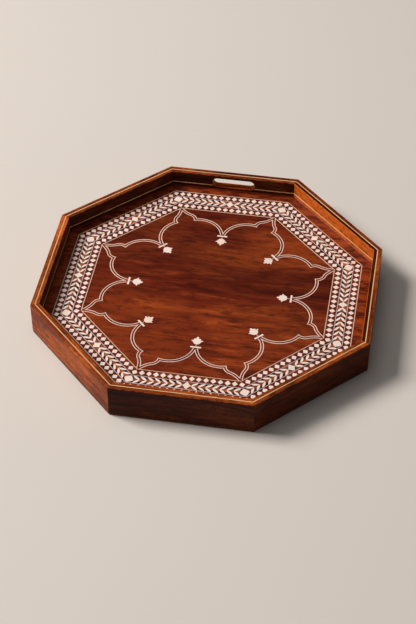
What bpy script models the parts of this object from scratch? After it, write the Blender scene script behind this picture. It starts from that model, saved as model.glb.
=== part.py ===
"""Octagonal inlaid wooden tray: eight mitred walls, an inlaid floor panel and a base board.

Metres, +Z up. The origin is at the centre of the underside. Every wall, line and inlay belongs
to one of eight sides, numbered clockwise as seen from above, starting with the slotted one at +Y.
"""

import math

import bmesh
import bpy
from mathutils import Matrix

# ---- driving dimensions -------------------------------------------------------------------
WIDTH = 0.500            # across opposite outer faces
HEIGHT = 0.055           # table to rim
WALL = 0.013             # wall thickness
FLOOR_DEPTH = 0.027      # rim to floor surface
FLOOR_THICK = 0.008
BASE_THICK = 0.004
GAP = 0.0003             # clearance between touching pieces
FLOOR_HOUSING = 0.004    # how far the floor panel enters the walls
BASE_INSET = 0.0005      # base board set back from the outer faces

SLOT_LENGTH = 0.068
SLOT_HEIGHT = 0.0165
SLOT_TOP_DROP = 0.006    # rim to the slot's upper edge

RIM_LINE_WIDTH = 0.0018
RIM_LINE_INSET = 0.0068  # outer face to the middle of the line
WALL_LINE_WIDTH = 0.0016
WALL_LINE_DROP = 0.0198  # rim to the middle of the line
LINE_THICK = 0.0009      # stringing, measured into the wood

BAND_INNER = 0.1805      # inner edge of the border banding, from the centre
BAND_OUTER = 0.2223
INLAY_THICK = 0.0012

SCALLOP_WIDTH = 0.0052   # whole double line
BLOCK_LEG = 0.036        # corner block, along each wall

# scalloped line and finial, as fractions of BAND_INNER: (along the side, out from the centre)
BIG_LOBE = ((0.215, 0.665), 0.211, 171.0, 76.0)      # centre, radius, first and last angle
SMALL_LOBE = (0.072, 170.0, 102.0)                   # radius, first and last angle
TIP_PULL = (0.372, 0.948)                            # the curve into the tip bends towards this
BAR = (0.043, 0.676, 0.697)                          # half length, inner edge, outer edge
NECK_HALF = 0.003
DIAMOND = (0.560, 0.610, 0.657)                      # inner tip, middle, outer tip
DIAMOND_HALF = 0.047
OGEE_BOW = 0.08
NECK_FILLET = 0.0006     # metres that the bar's edge falls towards the neck

SIDES = ("back", "back_right", "right", "front_right", "front", "front_left", "left", "back_left")
SLOTTED = "back"
HALF_SIDE = math.pi / 8
TAN = math.tan(HALF_SIDE)
COS = math.cos(HALF_SIDE)

INNER = WIDTH / 2 - WALL
FLOOR_TOP = HEIGHT - FLOOR_DEPTH
FLOOR_UNDER = FLOOR_TOP - FLOOR_THICK
WALL_FOOT = BASE_THICK + GAP
SLOT_MIDDLE = HEIGHT - SLOT_TOP_DROP - SLOT_HEIGHT / 2
WALL_LINE_Z = HEIGHT - WALL_LINE_DROP
OVERSHOOT = 0.002        # cutters run past the surfaces that they open
BIG_STEPS, SMALL_STEPS, TIP_STEPS = 14, 4, 5     # straight pieces in each curve of the line
OGEE_STEPS = 9
SLOT_STEPS = 16
NEAR_ZERO = 0.0000001
FLAT_ANGLE = 0.001       # faces closer than this to one plane are joined
BED_STEP = 0.00006       # beds that run into each other differ in depth by this

ROSEWOOD = ((0.24, 0.075, 0.028), 0.30)
FLOOR_WOOD = ((0.20, 0.045, 0.022), 0.22)
BASE_WOOD = ((0.16, 0.060, 0.028), 0.50)
PINE = ((0.52, 0.36, 0.20), 0.70)
BONE = ((0.80, 0.74, 0.62), 0.35)
CREAM = ((0.78, 0.62, 0.42), 0.35)
BOXWOOD = ((0.66, 0.36, 0.09), 0.35)
BANDING = ((0.55, 0.45, 0.36), 0.35)


# ---- scene and collections ----------------------------------------------------------------
def clear_scene():
    for item in list(bpy.data.objects):
        bpy.data.objects.remove(item, do_unlink=True)


def new_collection(name):
    collection = bpy.data.collections.new(name)
    bpy.context.scene.collection.children.link(collection)
    return collection


def finish(name, look):
    """One Principled material for one piece."""
    colour, roughness = look
    material = bpy.data.materials.new(name + "_finish")
    material.use_nodes = True
    shader = material.node_tree.nodes["Principled BSDF"]
    shader.inputs["Base Color"].default_value = (*colour, 1.0)
    shader.inputs["Roughness"].default_value = roughness
    shader.inputs["Metallic"].default_value = 0.0
    return material


# ---- outlines, as (along, out) in a side's own plane ----------------------------------------
def segment(inner, outer, shorten=0.0):
    """Mitred length of an octagonal ring; shorten draws each end back from the mitre plane."""
    ends = shorten / COS
    return [(-inner * TAN + ends, inner), (inner * TAN - ends, inner),
            (outer * TAN - ends, outer), (-outer * TAN + ends, outer)]


def octagon(apothem):
    radius = apothem / COS
    angles = [HALF_SIDE + k * math.pi / 4 for k in range(8)]
    return [(radius * math.cos(a), radius * math.sin(a)) for a in angles]


def arc(centre, radius, first, last, steps):
    turns = [math.radians(first + (last - first) * k / steps) for k in range(steps + 1)]
    return [(centre[0] + radius * math.cos(t), centre[1] + radius * math.sin(t)) for t in turns]


def tip_curve(start, pull, end, steps):
    """Quadratic curve from start to end, bent towards pull."""
    points = []
    for k in range(1, steps + 1):
        t = k / steps
        weights = ((1 - t) ** 2, 2 * t * (1 - t), t ** 2)
        points.append(tuple(sum(w * p[axis] for w, p in zip(weights, (start, pull, end)))
                            for axis in (0, 1)))
    return points


def scallop_path():
    """Middle of the right half of a side's scalloped line: inner cusp, two lobes, outer tip."""
    big = arc(*BIG_LOBE, BIG_STEPS)
    radius, first, last = SMALL_LOBE
    start = math.radians(first)
    centre = (big[-1][0] - radius * math.cos(start), big[-1][1] - radius * math.sin(start))
    small = arc(centre, radius, first, last, SMALL_STEPS)[1:]
    tip = tip_curve(small[-1], TIP_PULL, (TAN, 1.0), TIP_STEPS)
    return [(x * BAND_INNER, y * BAND_INNER) for x, y in big + small + tip]


def strip(path, half_width, start_extra):
    """Outline of a strip along a path, with mitred joints and a lengthened start."""
    (x0, y0), (x1, y1) = path[:2]
    length = math.hypot(x1 - x0, y1 - y0)
    lead = (x0 - (x1 - x0) / length * start_extra, y0 - (y1 - y0) / length * start_extra)
    points = [lead] + path[1:]
    left, right = [], []
    for k, (x, y) in enumerate(points):
        before = points[max(k - 1, 0)]
        after = points[min(k + 1, len(points) - 1)]
        here = (x, y)
        back = unit(before, here) if k > 0 else unit(here, after)
        ahead = unit(here, after) if k < len(points) - 1 else back
        mid = (back[0] + ahead[0], back[1] + ahead[1])
        size = math.hypot(*mid)
        normal = (-mid[1] / size, mid[0] / size)
        reach = half_width / (normal[0] * -ahead[1] + normal[1] * ahead[0])
        left.append((x + normal[0] * reach, y + normal[1] * reach))
        right.append((x - normal[0] * reach, y - normal[1] * reach))
    return left + right[::-1]


def unit(start, end):
    dx, dy = end[0] - start[0], end[1] - start[1]
    size = math.hypot(dx, dy)
    return dx / size, dy / size


def clip(outline, normal, limit):
    """Part of an outline on the near side of a line: normal . point <= limit."""
    kept = []
    heights = [normal[0] * x + normal[1] * y - limit for x, y in outline]
    for k, (x, y) in enumerate(outline):
        last = k - 1
        if heights[k] * heights[last] < 0.0:
            share = heights[last] / (heights[last] - heights[k])
            from_x, from_y = outline[last]
            kept.append((from_x + (x - from_x) * share, from_y + (y - from_y) * share))
        if heights[k] <= 0.0:
            kept.append((x, y))
    return kept


def mirrored(outline):
    """Complete an outline from its right half, which is cut at the middle of the side."""
    half = clip(outline, (-1.0, 0.0), 0.0)
    on_middle = [k for k, (x, _) in enumerate(half) if abs(x) < NEAR_ZERO]
    first = next(k for k in on_middle if (k + 1) % len(half) not in on_middle)
    half = half[first:] + half[:first]
    return half + [(-x, y) for x, y in half[::-1] if x > NEAR_ZERO]


def scallop_outline(width, side_end, inner_end):
    """A side's scalloped line, both lobes each way, from tip to tip.

    side_end is how far it passes the planes between this side and the next, and inner_end is
    the least distance from the centre that it reaches.
    """
    half = strip(scallop_path(), width / 2, SCALLOP_WIDTH)
    half = clip(half, (COS, -math.sin(HALF_SIDE)), side_end)
    half = clip(half, (0.0, -1.0), -inner_end)
    return mirrored(half)


def finial_outline(grow):
    """Bar, neck and pointed diamond in one outline, made larger all round by grow."""
    half_bar, bar_in, bar_out, tip_in, middle, tip_out, half, neck = (
        v * BAND_INNER for v in BAR + DIAMOND + (DIAMOND_HALF, NECK_HALF))
    lower = ogee((half + grow, middle), (neck + grow, tip_out + grow), OGEE_STEPS)
    upper = ogee((half + grow, middle), (0.0, tip_in - 2 * grow), OGEE_STEPS)
    right = [(half_bar + grow, bar_out + grow), (half_bar + grow, bar_in - grow),
             (neck + grow, bar_in - grow - NECK_FILLET)] + lower[::-1] + upper[1:]
    return right + [(-x, y) for x, y in right[::-1] if x > NEAR_ZERO]


def ogee(side, tip, steps):
    """Edge from a side point to a tip: hollow beside both, full between them."""
    points = []
    for k in range(steps + 1):
        t = k / steps
        share = 1.0 - t - OGEE_BOW * math.sin(3 * math.pi * t)
        points.append((tip[0] + (side[0] - tip[0]) * share, side[1] + (tip[1] - side[1]) * t))
    return points


def stadium(length, height, steps):
    """Round-ended slot, lying along the first axis."""
    reach = (length - height) / 2
    right = arc((reach, 0.0), height / 2, -90.0, 90.0, steps)
    left = arc((-reach, 0.0), height / 2, 90.0, 270.0, steps)
    return right + left


# ---- solids from outlines -------------------------------------------------------------------
def side_turn(index):
    return Matrix.Rotation(-index * math.pi / 4, 4, "Z")


def plate(name, outline, low, high, turn, collection, look=None):
    """Flat outline with its thickness from low to high, turned about the tray's axis."""
    curve = bpy.data.curves.new(name, "CURVE")
    curve.dimensions = "2D"
    curve.fill_mode = "BOTH"
    curve.extrude = (high - low) / 2
    spline = curve.splines.new("POLY")
    spline.points.add(len(outline) - 1)
    for point, (x, y) in zip(spline.points, outline):
        point.co = (x, y, 0.0, 1.0)
    spline.use_cyclic_u = True
    flat = bpy.data.objects.new(name + "_outline", curve)
    bpy.context.scene.collection.objects.link(flat)
    flat.matrix_world = turn @ Matrix.Translation((0.0, 0.0, (low + high) / 2))
    bpy.context.view_layer.update()
    solid = as_mesh(flat, name)
    collection.objects.link(solid)
    if look:
        solid.data.materials.clear()
        solid.data.materials.append(finish(name, look))
    return solid


def as_mesh(flat, name):
    """Turn an outline object into a closed mesh object in the same place."""
    graph = bpy.context.evaluated_depsgraph_get()
    mesh = bpy.data.meshes.new_from_object(flat.evaluated_get(graph))
    mesh.name = name
    shape = bmesh.new()
    shape.from_mesh(mesh)
    bmesh.ops.remove_doubles(shape, verts=shape.verts, dist=0.000001)
    bmesh.ops.recalc_face_normals(shape, faces=shape.faces)
    bmesh.ops.dissolve_limit(shape, angle_limit=FLAT_ANGLE, verts=shape.verts,
                             edges=shape.edges)
    shape.to_mesh(mesh)
    shape.free()
    solid = bpy.data.objects.new(name, mesh)
    solid.matrix_world = flat.matrix_world.copy()
    bpy.data.objects.remove(flat, do_unlink=True)
    return solid


def cutter(name, outline, low, high, turn, collection):
    solid = plate(name, outline, low, high, turn, collection)
    solid.hide_render = True
    solid.display_type = "WIRE"
    return solid


def boolean(piece, tool, operation="DIFFERENCE"):
    modifier = piece.modifiers.new(tool.name, "BOOLEAN")
    modifier.operation = operation
    modifier.solver = "EXACT"
    modifier.object = tool


# ---- pieces -----------------------------------------------------------------------------------
def walls(parts, cutters):
    """Eight mitred boards, grooved for the floor, the rim line and the inner line."""
    reach = OVERSHOOT
    groove_out = INNER + FLOOR_HOUSING
    rim_middle = WIDTH / 2 - RIM_LINE_INSET
    rim_half = RIM_LINE_WIDTH / 2 + GAP
    line_half = WALL_LINE_WIDTH / 2 + GAP
    for index, side in enumerate(SIDES):
        turn = side_turn(index)
        board = plate("wall_" + side, segment(INNER, WIDTH / 2, GAP / 2), WALL_FOOT, HEIGHT,
                      turn, parts, ROSEWOOD)
        housing = cutter("floor_groove_" + side, segment(INNER - reach, groove_out, -reach),
                         FLOOR_UNDER - GAP, FLOOR_TOP + GAP, turn, cutters)
        rim = cutter("rim_groove_" + side,
                     segment(rim_middle - rim_half, rim_middle + rim_half, -reach),
                     HEIGHT - LINE_THICK - GAP, HEIGHT + reach, turn, cutters)
        line = cutter("line_groove_" + side,
                      segment(INNER - reach, INNER + LINE_THICK + GAP, -reach),
                      WALL_LINE_Z - line_half, WALL_LINE_Z + line_half, turn, cutters)
        for tool in (housing, rim, line):
            boolean(board, tool)
        if side == SLOTTED:
            boolean(board, hand_slot(cutters))


def hand_slot(cutters):
    """Cutter for the round-ended slot, standing upright in the slotted wall."""
    upright = Matrix.Rotation(math.pi / 2, 4, "X")
    place = Matrix.Translation((0.0, WIDTH / 2 - WALL / 2, SLOT_MIDDLE)) @ upright
    reach = WALL / 2 + OVERSHOOT
    return cutter("hand_slot", stadium(SLOT_LENGTH, SLOT_HEIGHT, SLOT_STEPS), -reach, reach, place,
                  cutters)


def rim_lines(parts):
    middle = WIDTH / 2 - RIM_LINE_INSET
    half = RIM_LINE_WIDTH / 2
    for index, side in enumerate(SIDES):
        plate("rim_line_" + side, segment(middle - half, middle + half, GAP / 2),
              HEIGHT - LINE_THICK, HEIGHT, side_turn(index), parts, CREAM)


def wall_lines(parts):
    """Inner stringing; on the slotted wall it stops at each end of the slot."""
    low = WALL_LINE_Z - WALL_LINE_WIDTH / 2
    high = WALL_LINE_Z + WALL_LINE_WIDTH / 2
    round_end = SLOT_HEIGHT / 2
    drop = SLOT_MIDDLE - high
    slot_end = SLOT_LENGTH / 2 - round_end + math.sqrt(round_end ** 2 - drop ** 2) + GAP
    for index, side in enumerate(SIDES):
        full = segment(INNER, INNER + LINE_THICK, GAP / 2)
        if side != SLOTTED:
            plate("inner_line_" + side, full, low, high, side_turn(index), parts, BOXWOOD)
            continue
        right = [(max(x, slot_end), y) for x, y in full]
        left = [(-x, y) for x, y in reversed(right)]
        for hand, outline in (("right", right), ("left", left)):
            name = "inner_line_" + side + "_slot_" + hand
            plate(name, outline, low, high, side_turn(index), parts, BOXWOOD)


def border_banding(parts):
    for index, side in enumerate(SIDES):
        plate("border_band_" + side, segment(BAND_INNER, BAND_OUTER, GAP / 2),
              FLOOR_TOP - INLAY_THICK, FLOOR_TOP, side_turn(index), parts, BANDING)


def scallops(parts):
    """Double scalloped lines, each kept to its own eighth, inside the banding, below the bar."""
    bar_out = BAR[2] * BAND_INNER
    outline = scallop_outline(SCALLOP_WIDTH, -GAP / 2, bar_out + GAP)
    outline = clip(outline, (0.0, 1.0), BAND_INNER - 2 * GAP)
    for index, side in enumerate(SIDES):
        plate("scallop_" + side, outline, FLOOR_TOP - INLAY_THICK, FLOOR_TOP, side_turn(index),
              parts, BONE)


def finials(parts):
    for index, side in enumerate(SIDES):
        plate("finial_" + side, finial_outline(0.0), FLOOR_TOP - INLAY_THICK, FLOOR_TOP,
              side_turn(index), parts, BONE)


def floor_panel(parts, cutters):
    """Octagonal panel housed in the walls, with shallow beds for all of its inlay."""
    panel = plate("floor_panel", octagon(INNER + FLOOR_HOUSING - GAP), FLOOR_UNDER, FLOOR_TOP,
                  Matrix.Identity(4), parts, FLOOR_WOOD)
    shallow = FLOOR_TOP - INLAY_THICK - GAP
    high = FLOOR_TOP + OVERSHOOT
    bar_middle = (BAR[1] + BAR[2]) / 2 * BAND_INNER
    line = scallop_outline(SCALLOP_WIDTH + 2 * GAP, SCALLOP_WIDTH, bar_middle)
    beds = (("band_bed_", segment(BAND_INNER - GAP, BAND_OUTER + GAP, -OVERSHOOT), 4),
            ("scallop_bed_", line, 0), ("finial_bed_", finial_outline(GAP), 2))
    for kind, outline, steps in beds:
        for index, side in enumerate(SIDES):
            drop = (steps + index % 2) * BED_STEP
            bed = cutter(kind + side, outline, shallow - drop, high + drop, side_turn(index),
                         cutters)
            boolean(panel, bed)


def base_board(parts):
    plate("base_board", octagon(WIDTH / 2 - BASE_INSET), 0.0, BASE_THICK, Matrix.Identity(4),
          parts, BASE_WOOD)


def corner_blocks(parts):
    """Triangular blocks under the floor, one glued into each mitred corner."""
    corner = (INNER - GAP) / COS
    along = BLOCK_LEG * COS
    inward = BLOCK_LEG * math.sin(HALF_SIDE)
    outline = [(0.0, corner), (-along, corner - inward), (along, corner - inward)]
    for index, side in enumerate(SIDES):
        turn = Matrix.Rotation(-(index + 0.5) * math.pi / 4, 4, "Z")
        plate("corner_block_" + str(index + 1), outline, WALL_FOOT, FLOOR_UNDER - GAP, turn,
              parts, PINE)


def main():
    clear_scene()
    parts = new_collection("octagonal_inlaid_tray")
    cutters = new_collection("tray_cutters")
    base_board(parts)
    corner_blocks(parts)
    walls(parts, cutters)
    rim_lines(parts)
    wall_lines(parts)
    floor_panel(parts, cutters)
    border_banding(parts)
    scallops(parts)
    finials(parts)


main()
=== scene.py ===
"""Looks of an octagonal inlaid wooden tray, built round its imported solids.

Metres, +Z up, with the origin at the centre of the underside. Every side has a frame of its own,
(along, out, up): side number i is that frame turned by -45 degrees times i about Z, and side 0,
which has the hand slot, lies at +Y. The grain attribute holds places in that frame.
"""

import math

import bmesh
import bpy
import numpy as np
from bpy.props import FloatProperty, FloatVectorProperty, IntProperty, PointerProperty
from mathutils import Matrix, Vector


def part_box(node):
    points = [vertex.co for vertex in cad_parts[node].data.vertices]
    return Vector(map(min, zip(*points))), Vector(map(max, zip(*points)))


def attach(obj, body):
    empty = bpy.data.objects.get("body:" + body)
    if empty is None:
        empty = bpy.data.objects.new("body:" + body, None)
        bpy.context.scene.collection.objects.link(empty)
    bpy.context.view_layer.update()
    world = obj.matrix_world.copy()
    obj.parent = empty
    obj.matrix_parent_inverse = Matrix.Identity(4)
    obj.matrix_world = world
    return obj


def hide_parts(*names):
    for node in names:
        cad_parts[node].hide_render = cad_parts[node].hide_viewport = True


bl_info = {
    "name": "Octagonal inlaid tray",
    "version": (1, 0, 0),
    "blender": (4, 5, 0),
    "location": "3D View > Sidebar > Tray",
    "description": "Builds the boards, banding, scalloped lines and finishes of an inlaid tray",
    "category": "Object",
}

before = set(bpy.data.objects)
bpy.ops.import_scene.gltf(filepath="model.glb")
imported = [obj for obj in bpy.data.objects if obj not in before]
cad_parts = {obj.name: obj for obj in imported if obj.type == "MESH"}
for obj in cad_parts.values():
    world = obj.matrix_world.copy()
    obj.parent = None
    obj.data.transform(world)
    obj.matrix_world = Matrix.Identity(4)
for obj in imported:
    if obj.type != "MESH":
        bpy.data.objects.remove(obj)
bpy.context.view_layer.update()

SIDES = ("back", "back_right", "right", "front_right", "front", "front_left", "left", "back_left")
SLOTTED = "back"
TURN = math.pi / 4
HALF_TURN = TURN / 2
TAN = math.tan(HALF_TURN)
COS = math.cos(HALF_TURN)
SIN = math.sin(HALF_TURN)
MM = 0.001
GAP = 0.3 * MM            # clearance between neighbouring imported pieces
HAIR = 0.02 * MM          # keeps two faces from lying in one plane
MIRROR = np.array([-1.0, 1.0])      # turns an outline's left and right about
GRAIN_STEP = (1.7, 0.61, 0.37)      # moves every board's grain to wood of its own
SHARP_FROM = math.radians(40)       # edges at least this sharp stay sharp
FLATS_FIRST = 100         # weighted normals follow the largest faces


def side_box(prefix):
    """Inner face, outer face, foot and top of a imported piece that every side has."""
    low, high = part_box(prefix + "front")
    return -high.y, -low.y, low.z, high.z


WALL_IN, WALL_OUT, WALL_FOOT, RIM = side_box("wall_")
RIM_LINE_IN, RIM_LINE_OUT, RIM_LINE_FOOT, _ = side_box("rim_line_")
GOLD_IN, GOLD_OUT, GOLD_FOOT, GOLD_TOP = side_box("inner_line_")
BAND_IN, BAND_OUT, BAND_FOOT, FLOOR_TOP = side_box("border_band_")
_, BAR_OUT, _, _ = side_box("finial_")
BAR_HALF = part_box("finial_front")[1].x
FLOOR_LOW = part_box("floor_panel")[0]
SLOT_LINE_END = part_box("inner_line_back_slot_right")[0].x
BED = BAND_FOOT - GAP


# ---- settings ---------------------------------------------------------------------------------
def length(name, description, default):
    return number(name, description, default, unit="LENGTH", precision=5)


def number(name, description, default, **limits):
    return FloatProperty(name=name, description=description, default=default, **limits)


def count_of(name, description, default, least):
    return IntProperty(name=name, description=description, default=default, min=least)


def colour(name, description, default):
    return FloatVectorProperty(name=name, description=description, default=default,
                               subtype="COLOR", size=3, min=0.0, max=1.0)


class TraySizes(bpy.types.PropertyGroup):
    """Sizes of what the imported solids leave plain."""

    arris: length("Arris", "Rounding of the boards' long edges", 1.1 * MM)
    slot_length: length("Slot length", "Whole length of the hand slot", 68 * MM)
    slot_height: length("Slot height", "Height of the hand slot", 16.5 * MM)
    slot_drop: length("Slot drop", "Rim to the slot's upper edge", 6 * MM)
    slot_flare: length("Slot flare", "Rounding of the slot's edges", 1.6 * MM)
    bead: length("Bead", "Radius of the bead at the foot of the walls", 1.0 * MM)
    fine_line: length("Fine line", "Width of the pale lines in the border", 1.25 * MM)
    proud: length("Proud", "How far the inlay stands above the polished wood", 0.06 * MM)
    ease: length("Ease", "Softened edge of an inlaid piece", 0.18 * MM)
    dot_along: length("Dot length", "Half of a dot's size along the side", 4.3 * MM)
    dot_out: length("Dot depth", "Half of a dot's size across the border", 4.8 * MM)
    arm_width: length("Chevron arm", "Width of a chevron's pale arm", 4.0 * MM)
    rim_line: length("Rim line", "Width of the stringing in the rim", 1.45 * MM)
    scallop_line: length("Scalloped line", "Width of each of its two pale lines", 1.35 * MM)
    inner_dots: count_of("Inner dots", "Dots in a side's inner row, corner dots included", 16, 2)
    outer_dots: count_of("Outer dots", "Dots in a side's outer row, corner dots included", 18, 2)
    chevrons: count_of("Chevrons", "Chevrons from a side's middle to its end", 7, 1)


class TrayColours(bpy.types.PropertyGroup):
    """Colours of the finishes."""

    # This dark colour also gives painted shade on faces turned from the light and on two rims.
    wall_dark: colour("Wall, dark", "Dark streaks of the boards", (0.026, 0.0045, 0.0022))
    wall_body: colour("Wall", "Body of the boards", (0.200, 0.031, 0.0075))
    wall_light: colour("Wall, light", "Light streaks of the boards", (0.600, 0.130, 0.018))
    # Painted light: faces turned to the key light are painted towards this colour.
    painted_light_amber: colour("Wall, amber", "Palest boards where the light falls on them",
                  (0.780, 0.165, 0.018))
    floor_dark: colour("Floor, dark", "Dark streaks of the floor", (0.040, 0.0052, 0.0028))
    floor_body: colour("Floor", "Body of the floor", (0.140, 0.0160, 0.0052))
    floor_light: colour("Floor, light", "Warm patches of the floor", (0.340, 0.062, 0.0120))
    base_body: colour("Base", "Body of the base board", (0.100, 0.024, 0.008))
    pine_body: colour("Pine", "Corner blocks under the floor", (0.560, 0.360, 0.180))
    bone: colour("Bone", "Pale inlay", (0.890, 0.790, 0.745))
    rim_line: colour("Rim line", "Stringing in the rim", (0.800, 0.540, 0.300))
    gold_line: colour("Gold line", "Stringing in the walls", (0.950, 0.680, 0.330))
    ebony: colour("Ebony", "Ground of the chevrons", (0.014, 0.005, 0.004))
    ground: colour("Ground", "Ground of the dots", (0.120, 0.0150, 0.0055))
    tan: colour("Tan", "Wedges inside the chevrons", (0.250, 0.066, 0.026))
    mastic: colour("Mastic", "Filling of the beds", (0.060, 0.011, 0.006))


class TrayStage(bpy.types.PropertyGroup):
    """Floor, lights and camera."""

    floor: colour("Floor", "Floor that the tray stands on", (0.64, 0.62, 0.60))
    key: number("Key light", "Power of the large light on the left", 590.0, unit="POWER")
    fill: number("Fill light", "Power of the light overhead", 12.0, unit="POWER")
    air: number("Air", "Strength of the light from all round", 0.08, min=0.0)
    azimuth: number("Azimuth", "Camera's turn about the tray", math.radians(9.34),
                    subtype="ANGLE")
    elevation: number("Elevation", "Camera's height above the floor", math.radians(43.81),
                      subtype="ANGLE")
    distance: length("Distance", "Camera to the point that it looks at", 2.361)
    aim: FloatVectorProperty(name="Aim", description="Point that the camera looks at",
                             default=(0.0102, -0.0760, RIM), subtype="TRANSLATION")
    lens: number("Lens", "Focal length", 93.2, min=1.0)


def sizes():
    return bpy.context.scene.tray_sizes


def colours():
    return bpy.context.scene.tray_colours


def shaded(tint, red, green, blue):
    """A colour with each of its channels scaled."""
    return tint[0] * red, tint[1] * green, tint[2] * blue


# ---- meshes -----------------------------------------------------------------------------------
def in_tray(points, index):
    """Points from a side's own frame: turned by -45 degrees times index about Z."""
    angle = -index * TURN
    turn = np.array([[math.cos(angle), -math.sin(angle), 0.0],
                     [math.sin(angle), math.cos(angle), 0.0],
                     [0.0, 0.0, 1.0]])
    return points @ turn.T


def tube_faces(rows, count):
    """Quads between neighbouring rings of a grid, and one face that closes each end ring."""
    here = np.arange(count)
    after = (here + 1) % count
    start = np.arange(rows - 1)[:, None] * count
    quads = np.stack([start + here, start + after, start + count + after, start + count + here],
                     -1).reshape(-1, 4)
    return [quads, here[None, ::-1], (here + (rows - 1) * count)[None]]


def joined(shapes):
    """One shape from several (points, faces, tone): faces count on from the points before."""
    counts = np.array([len(points) for points, _, _ in shapes])
    starts = np.concatenate([[0], np.cumsum(counts)[:-1]])
    points = np.concatenate([shape[0] for shape in shapes])
    tone = np.concatenate([shape[2] for shape in shapes])
    faces = [face + start for (_, group, _), start in zip(shapes, starts) for face in group]
    return points, faces, tone


def counter_clockwise(outlines):
    """Outlines all in one direction: those whose signed area is negative are reversed."""
    after = np.roll(outlines, -1, 1)
    area = (outlines[..., 0] * after[..., 1] - outlines[..., 1] * after[..., 0]).sum(1)
    return np.where(area[:, None, None] < 0.0, outlines[:, ::-1], outlines)


def drawn_in(outlines, by):
    """Outlines made smaller: each corner moves along the mean of its two edges' inward normals,
    by the distance over the cosine between them, and by three distances at most."""
    edge = np.roll(outlines, -1, 1) - outlines
    edge = edge / np.maximum(np.linalg.norm(edge, axis=-1, keepdims=True), 1e-12)
    inward = np.stack([-edge[..., 1], edge[..., 0]], -1)
    middle = inward + np.roll(inward, 1, 1)
    middle = middle / np.maximum(np.linalg.norm(middle, axis=-1, keepdims=True), 1e-12)
    cosine = np.maximum((middle * inward).sum(-1, keepdims=True), 1.0 / 3.0)
    return outlines + middle * by / cosine


def plates(outlines, low, high, ease, foot_ease=0.0, seed=0):
    """Flat pieces with softened edges. outlines is (pieces, points, 2), along and out.

    Each piece is a tube of rings one above another: the outline at the foot, the outline just
    below the top, and the outline drawn in at the top. Its tone is one random number.
    """
    outlines = counter_clockwise(np.asarray(outlines, float))
    rings = [(0.0, low), (0.0, high - ease), (ease, high)]
    if foot_ease:
        rings = [(foot_ease, low), (0.0, low + foot_ease)] + rings[1:]
    levels = [np.concatenate([drawn_in(outlines, by), np.full(outlines.shape[:2] + (1,), up)], -1)
              for by, up in rings]
    grid = np.stack(levels, 1)
    pieces, rows, count, _ = grid.shape
    starts = (np.arange(pieces) * rows * count)[:, None, None]
    faces = [(face[None] + starts).reshape(-1, face.shape[1]) for face in tube_faces(rows, count)]
    tone = np.random.default_rng(seed).random(pieces).repeat(rows * count)
    return grid.reshape(-1, 3), faces, tone


def mitred(profile):
    """A closed profile of (out, up) carried along a side: a point at out reaches
    out * tan 22.5 degrees each way, less the gap at the mitre. Its tone is 0.5."""
    out, up = np.asarray(profile, float).T
    reach = out * TAN - GAP / 2 / COS
    ends = np.array([-1.0, 1.0])[:, None]
    grid = np.stack([ends * reach, np.tile(out, (2, 1)), np.tile(up, (2, 1))], -1)
    return grid.reshape(-1, 3), tube_faces(2, len(out)), np.full(2 * len(out), 0.5)


def rounded(corners, radii, steps=4):
    """Closed outline with rounded corners: each corner gives way to the quadratic curve between
    the points one radius before it and one radius after it, bent towards the corner."""
    corners = np.asarray(corners, float)
    before = np.roll(corners, 1, 0) - corners
    after = np.roll(corners, -1, 0) - corners
    radii = np.asarray(radii, float)[:, None]
    start = corners + before / np.linalg.norm(before, axis=1, keepdims=True) * radii
    end = corners + after / np.linalg.norm(after, axis=1, keepdims=True) * radii
    t = np.linspace(0.0, 1.0, steps + 1)[None, :, None]
    curve = ((1 - t) ** 2 * start[:, None] + 2 * t * (1 - t) * corners[:, None]
             + t ** 2 * end[:, None])
    return curve.reshape(-1, 2)


def segment(inner, outer, shorten=GAP / 2):
    """Mitred strip of a side between two distances from the tray's centre."""
    ends = shorten / COS
    return np.array([[-inner * TAN + ends, inner], [inner * TAN - ends, inner],
                     [outer * TAN - ends, outer], [-outer * TAN + ends, outer]])


def trimmed(outline, normal, limit):
    """Part of an outline where normal . point <= limit: an edge that crosses the line is cut
    where its height above the line, which is linear along it, is nought."""
    height = outline @ np.asarray(normal) - limit
    before = np.roll(outline, 1, 0)
    height_before = np.roll(height, 1)
    crosses = height * height_before < 0.0
    share = height_before / np.where(crosses, height_before - height, 1.0)
    crossing = before + (outline - before) * share[:, None]
    both = np.stack([crossing, outline], 1)
    return both[np.stack([crosses, height <= 0.0], 1)]


def bare_mesh(name, points, faces):
    """A mesh from points and groups of faces, each group an array with one row for a face."""
    mesh = bpy.data.meshes.new(name)
    mesh.from_pydata(points.tolist(), [], [face for group in faces for face in group.tolist()])
    return mesh


def placed(name, data):
    """A new object in the scene, at the origin and unturned."""
    item = bpy.data.objects.new(name, data)
    bpy.context.scene.collection.objects.link(item)
    return item


def outward(mesh):
    """Every shell's faces turned to point out of it."""
    shape = bmesh.new()
    shape.from_mesh(mesh)
    bmesh.ops.recalc_face_normals(shape, faces=shape.faces)
    shape.to_mesh(mesh)
    shape.free()


def own_places(mesh, index):
    """A mesh's points in the frame of its side."""
    places = np.empty(len(mesh.vertices) * 3)
    mesh.vertices.foreach_get("co", places)
    return in_tray(places.reshape(-1, 3), -index)


def set_mark(mesh, name, values, kind="FLOAT"):
    """An attribute of the points, in place of any that has its name."""
    if name in mesh.attributes:
        mesh.attributes.remove(mesh.attributes[name])
    part = "value" if kind == "FLOAT" else "vector"
    mesh.attributes.new(name, kind, "POINT").data.foreach_set(
        part, values.astype(np.float32).ravel())


def set_grain(mesh, index):
    """The grain attribute: each point in its side's own frame, moved to wood of its own."""
    set_mark(mesh, "grain", own_places(mesh, index) + np.array(GRAIN_STEP) * index,
             "FLOAT_VECTOR")


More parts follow.
